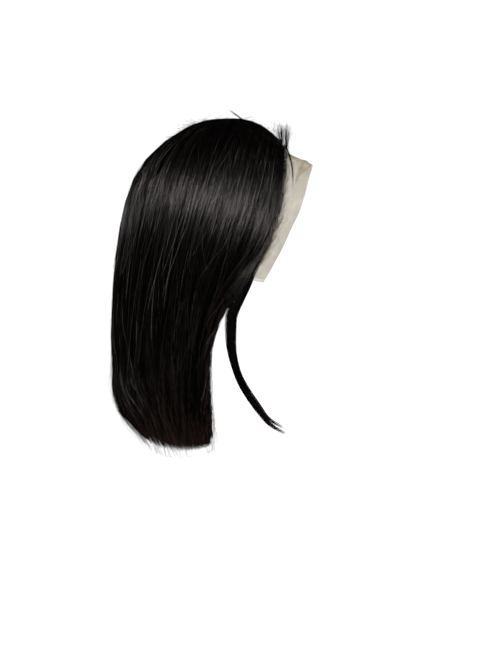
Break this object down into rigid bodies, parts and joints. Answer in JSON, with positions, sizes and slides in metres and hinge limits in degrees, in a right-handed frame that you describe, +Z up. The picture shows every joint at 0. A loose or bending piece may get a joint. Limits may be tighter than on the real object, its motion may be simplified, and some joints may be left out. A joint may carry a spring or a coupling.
{
  "type": "bob wig",
  "caption": "Straight shoulder-length bob wig with a lace front, in its worn form: net cap, lace strip, curtains of long hair with a middle parting, and a thin lock on each side of the face.",
  "frame": {"origin": "middle of the inner top of the cap, where the wig sits on the crown of the head", "axes": "+X towards the wearer's face, +Y to the wearer's left, +Z up along the fall of the hair"},
  "size_m": [0.2215, 0.1862, 0.3613],
  "materials": {
    "hair": "straight glossy black-brown human hair",
    "cap_net": "dark stretch net",
    "lace": "sheer beige hexagonal net"
  },
  "bodies": {
    "root": {"net_cap": "cap_net", "lace_front": "lace", "knotted_hair_right": "hair", "knotted_hair_left": "hair", "weft_hair_back": "hair", "face_lock_right": "hair", "face_lock_left": "hair"}
  },
  "joints": []
}
